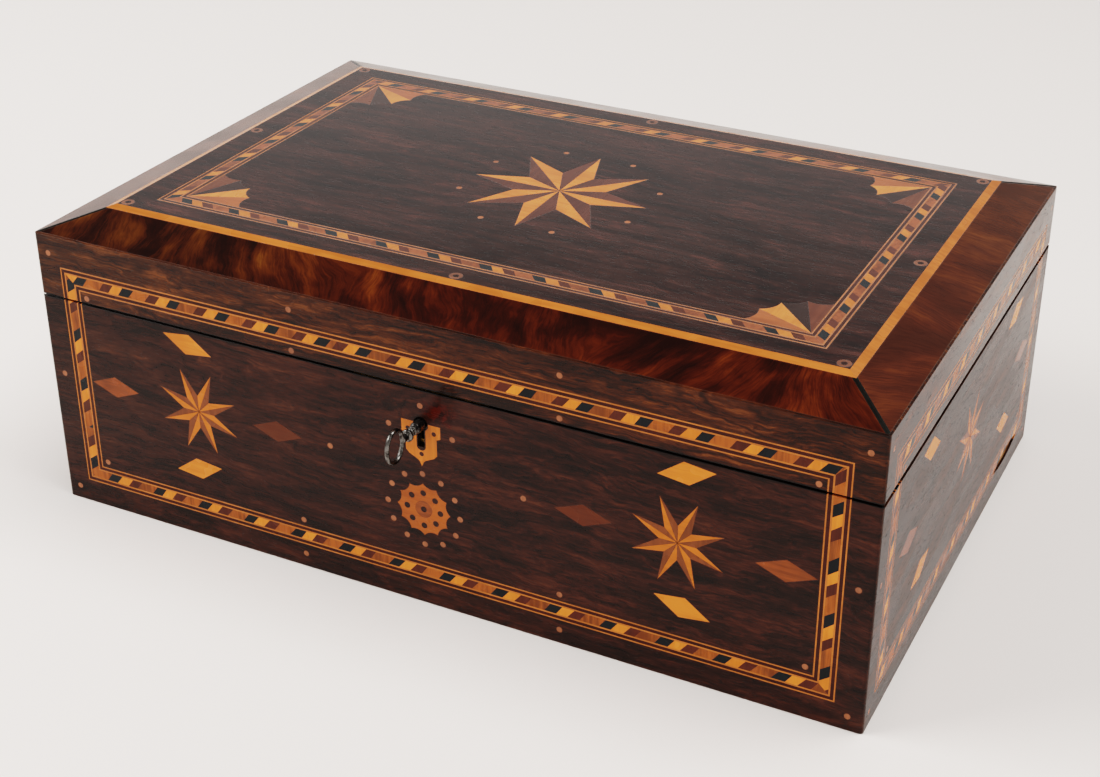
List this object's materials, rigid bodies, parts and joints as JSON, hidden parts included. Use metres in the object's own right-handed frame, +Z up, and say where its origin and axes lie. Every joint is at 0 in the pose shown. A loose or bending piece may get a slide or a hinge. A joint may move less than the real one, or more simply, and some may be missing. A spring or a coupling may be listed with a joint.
{
  "type": "inlaid wooden box",
  "caption": "Rectangular dark-wood box with a bevelled hinged lid, star and banding marquetry, an inlaid escutcheon, and a lock with its key.",
  "frame": {"origin": "middle of the underside, on the surface that the box stands on", "axes": "+Z up, -Y out of the front with the lock, +X towards the right-hand end"},
  "size_m": [0.38, 0.2808, 0.14],
  "materials": {
    "pine": "planed softwood",
    "rosewood": "french polished rosewood",
    "flame_mahogany": "french polished figured veneer",
    "red_lining": "thin velvet",
    "yellow_wood": "polished boxwood",
    "banding": "polished blocks of four woods between fine lines",
    "brown_wood": "polished fruitwood",
    "mauve_wood": "polished dyed wood",
    "red_wood": "polished padouk",
    "orange_wood": "polished satinwood",
    "tan_wood": "polished light wood",
    "ebony": "polished black wood",
    "brass": "aged brass",
    "grey_steel": "worn steel"
  },
  "bodies": {
    "case": {"front_board": "pine", "back_board": "pine", "left_board": "pine", "right_board": "pine", "bottom_board": "pine", "case_rim": "rosewood", "case_lining": "red_lining", "front_veneer": "rosewood", "back_veneer": "rosewood", "end_veneers": "rosewood", "case_banding": "banding", "case_stars_light": "yellow_wood", "case_stars_dark": "brown_wood", "yellow_lozenges": "yellow_wood", "red_lozenges": "red_wood", "case_dots": "tan_wood", "patera": "orange_wood", "patera_ring": "red_wood", "patera_dots": "ebony", "escutcheon": "orange_wood", "escutcheon_pins": "ebony", "lock_case": "brass", "lock_cap": "brass", "lock_spring": "grey_steel", "drill_pin": "grey_steel", "lock_screws": "grey_steel", "case_hinge_leaves": "brass", "hinge_pins": "brass", "case_hinge_screws": "brass"},
    "lid": {"lid_front_rail": "pine", "lid_back_rail": "pine", "lid_left_rail": "pine", "lid_right_rail": "pine", "lid_panel": "pine", "lid_rim": "rosewood", "lid_lining": "red_lining", "lid_veneers": "rosewood", "lid_banding": "banding", "lid_dots": "tan_wood", "bevel_veneers": "flame_mahogany", "hip_lines": "ebony", "top_stringing": "yellow_wood", "top_veneer": "rosewood", "top_banding": "banding", "top_star_light": "yellow_wood", "top_star_dark": "mauve_wood", "fans_yellow": "yellow_wood", "fans_orange": "orange_wood", "fans_red": "red_wood", "fans_dark": "ebony", "top_rings": "tan_wood", "top_ring_cores": "ebony", "link_plate": "brass", "link_plate_screws": "grey_steel", "lid_hinge_leaves": "brass", "lid_hinge_screws": "brass"},
    "bolt": {"lock_bolt": "grey_steel"},
    "key": {"key": "grey_steel"}
  },
  "joints": [
    {"name": "lid_hinge", "type": "hinge", "parent": "case", "child": "lid", "pos_m": [0, 0.127, 0.103], "axis": [-1, 0, 0], "range_deg": [0, 95]},
    {"name": "key_turn", "type": "hinge", "parent": "case", "child": "key", "pos_m": [-0.001, -0.125, 0.087], "axis": [0, 1, 0], "range_deg": [0, 360]},
    {"name": "bolt_slide", "type": "slide", "parent": "case", "child": "bolt", "axis": [1, 0, 0], "range_m": [0, 0.007]}
  ],
  "couplings": [
    {"joint": "bolt_slide", "follows": "key_turn", "m_per_rad": 0.001114}
  ]
}
